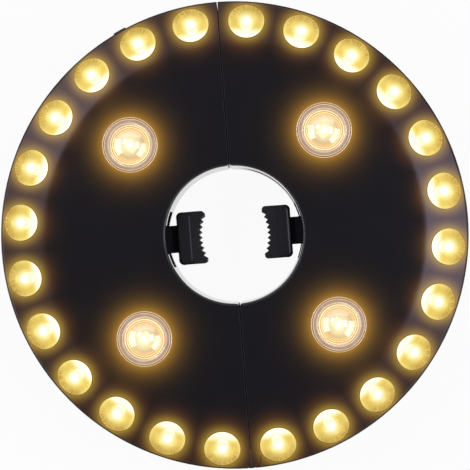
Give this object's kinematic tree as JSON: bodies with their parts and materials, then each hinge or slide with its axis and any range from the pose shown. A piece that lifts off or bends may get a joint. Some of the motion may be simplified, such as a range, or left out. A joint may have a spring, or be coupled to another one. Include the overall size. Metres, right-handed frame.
{
  "type": "patio umbrella light",
  "caption": "Two hinged half discs with a ring of small lamps and spot lamps, closed around an umbrella pole by sprung, toothed jaws.",
  "frame": {"origin": "on the pole axis, at the flat back face", "axes": "+Z out of the lamp face along the pole, +X across the seam towards the right half, +Y along the seam away from the hinge"},
  "size_m": [0.2, 0.2, 0.0383],
  "materials": {
    "shell_plastic": "black moulded ABS, fine satin gloss",
    "cover_plastic": "black moulded ABS, fine matt texture",
    "board": "white solder mask",
    "gold_reflector": "plated gold mirror on plastic",
    "warm_lamp": "clear epoxy lamp, lit warm white",
    "clear_lens": "clear polished lens",
    "jaw_plastic": "black moulded plastic, satin",
    "pad_rubber": "black rubber, matt",
    "steel": "zinc plated steel",
    "magnet": "nickel plated magnet",
    "cell_jacket": "printed film over a steel can, plain bands",
    "wire": "insulated wire",
    "button_plastic": "black moulded plastic, satin",
    "switch": "black switch body",
    "chip": "black chip packages"
  },
  "bodies": {
    "left_half": {"front_shell_left": "shell_plastic", "back_cover_left": "cover_plastic", "lamp_board_left": "board", "ring_cups_left": "gold_reflector", "ring_lamps_left": "warm_lamp", "spot_cups_left": "gold_reflector", "spot_lamps_left": "warm_lamp", "spot_lenses_left": "clear_lens", "jaw_guide_left": "cover_plastic", "jaw_spring_left": "steel", "battery_box_left": "cover_plastic", "battery_cells_left": "cell_jacket", "contact_plates_left": "steel", "contact_springs_left": "steel", "battery_leads_left": "wire", "cover_screws_left": "steel", "board_screws_left": "steel", "closing_magnets_left": "magnet", "hinge_pin": "steel", "button_switch": "switch", "driver_parts": "chip"},
    "right_half": {"front_shell_right": "shell_plastic", "back_cover_right": "cover_plastic", "lamp_board_right": "board", "ring_cups_right": "gold_reflector", "ring_lamps_right": "warm_lamp", "spot_cups_right": "gold_reflector", "spot_lamps_right": "warm_lamp", "spot_lenses_right": "clear_lens", "jaw_guide_right": "cover_plastic", "jaw_spring_right": "steel", "battery_box_right": "cover_plastic", "battery_cells_right": "cell_jacket", "contact_plates_right": "steel", "contact_springs_right": "steel", "battery_leads_right": "wire", "cover_screws_right": "steel", "board_screws_right": "steel", "closing_magnets_right": "magnet"},
    "jaw_left": {"jaw_left": "jaw_plastic", "grip_pad_left": "pad_rubber"},
    "battery_door_left": {"battery_door_left": "cover_plastic"},
    "hanging_hook_left": {"hanging_hook_left": "jaw_plastic"},
    "jaw_right": {"jaw_right": "jaw_plastic", "grip_pad_right": "pad_rubber"},
    "battery_door_right": {"battery_door_right": "cover_plastic"},
    "hanging_hook_right": {"hanging_hook_right": "jaw_plastic"},
    "power_button": {"power_button": "button_plastic"}
  },
  "joints": [
    {"name": "half_hinge", "type": "hinge", "parent": "left_half", "child": "right_half", "pos_m": [0, -0.096, 0.012], "axis": [0, 0, -1], "range_deg": [0, 45]},
    {"name": "jaw_slide_left", "type": "slide", "parent": "left_half", "child": "jaw_left", "axis": [-1, 0, 0], "range_m": [0, 0.0096], "stiffness_N_per_m": 150, "springref_m": -0.0174, "deforming": ["jaw_spring_left"]},
    {"name": "door_hinge_left", "type": "hinge", "parent": "left_half", "child": "battery_door_left", "pos_m": [-0.0588, 0, 0.0013], "axis": [0, -1, 0], "range_deg": [0, 100]},
    {"name": "hook_hinge_left", "type": "hinge", "parent": "left_half", "child": "hanging_hook_left", "pos_m": [-0.0155, 0.062, 0.0024], "axis": [0, -1, 0], "range_deg": [0, 95]},
    {"name": "jaw_slide_right", "type": "slide", "parent": "right_half", "child": "jaw_right", "axis": [1, 0, 0], "range_m": [0, 0.0096], "stiffness_N_per_m": 150, "springref_m": -0.0174, "deforming": ["jaw_spring_right"]},
    {"name": "door_hinge_right", "type": "hinge", "parent": "right_half", "child": "battery_door_right", "pos_m": [0.0588, 0, 0.0013], "axis": [0, 1, 0], "range_deg": [0, 100]},
    {"name": "hook_hinge_right", "type": "hinge", "parent": "right_half", "child": "hanging_hook_right", "pos_m": [0.0155, -0.062, 0.0024], "axis": [0, 1, 0], "range_deg": [0, 95]},
    {"name": "button_press", "type": "slide", "parent": "left_half", "child": "power_button", "axis": [0.4258, -0.9048, 0], "range_m": [0, 0.0008], "stiffness_N_per_m": 500, "springref_m": -0.001}
  ]
}
